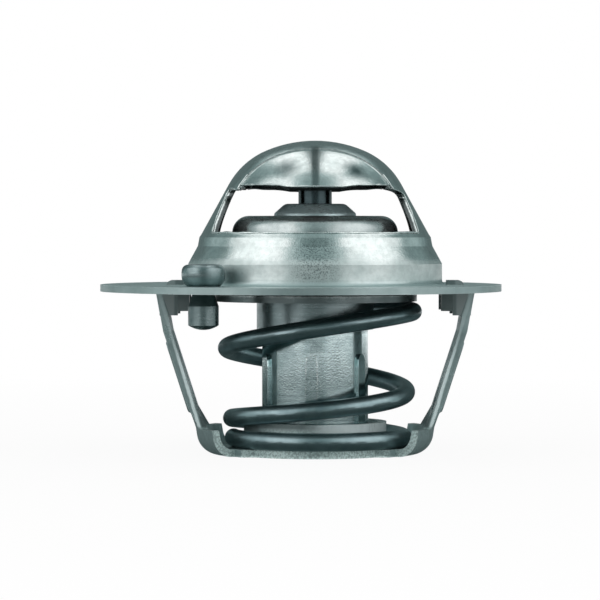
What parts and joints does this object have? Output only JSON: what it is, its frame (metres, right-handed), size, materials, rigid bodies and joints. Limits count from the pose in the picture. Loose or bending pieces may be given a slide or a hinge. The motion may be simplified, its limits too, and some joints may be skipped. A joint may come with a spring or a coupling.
{
  "type": "engine thermostat",
  "caption": "Wax element thermostat insert for an engine's coolant circuit, with a round flange, a bridge over the valve, a sprung valve plate and a bleed valve.",
  "frame": {"origin": "centre of the flange circle, in the plane of the flange's underside", "axes": "+Z along the valve's axis towards the bridge, +X from the flange centre towards the valve's axis"},
  "size_m": [0.048, 0.048, 0.0375],
  "materials": {
    "bridge_steel": "satin",
    "frame_steel": "satin",
    "spring_steel": "oiled dark",
    "plate_steel": "satin",
    "pin_steel": "ground",
    "cup_metal": "nickel plated, satin",
    "bleed_metal": "nickel plated",
    "seal_rubber": "matt",
    "wax": "waxy",
    "washer_plastic": "matt"
  },
  "bodies": {
    "housing": {"bridge_flange": "bridge_steel", "lower_frame": "frame_steel", "main_spring": "spring_steel", "piston_pin": "pin_steel"},
    "valve": {"valve_plate": "plate_steel", "valve_seal": "seal_rubber", "guide_bush": "cup_metal", "backup_washer": "washer_plastic", "element_cup": "cup_metal", "rubber_boot": "seal_rubber", "wax_charge": "wax"},
    "bleed": {"jiggle_pin": "bleed_metal", "jiggle_weight": "bleed_metal"}
  },
  "joints": [
    {"name": "valve_lift", "type": "slide", "parent": "housing", "child": "valve", "axis": [0, 0, -1], "range_m": [0, 0.0075], "stiffness_N_per_m": 300, "springref_m": -0.01, "deforming": ["main_spring"]},
    {"name": "bleed_lift", "type": "slide", "parent": "housing", "child": "bleed", "axis": [0, 0, 1], "range_m": [0, 0.00065]}
  ]
}
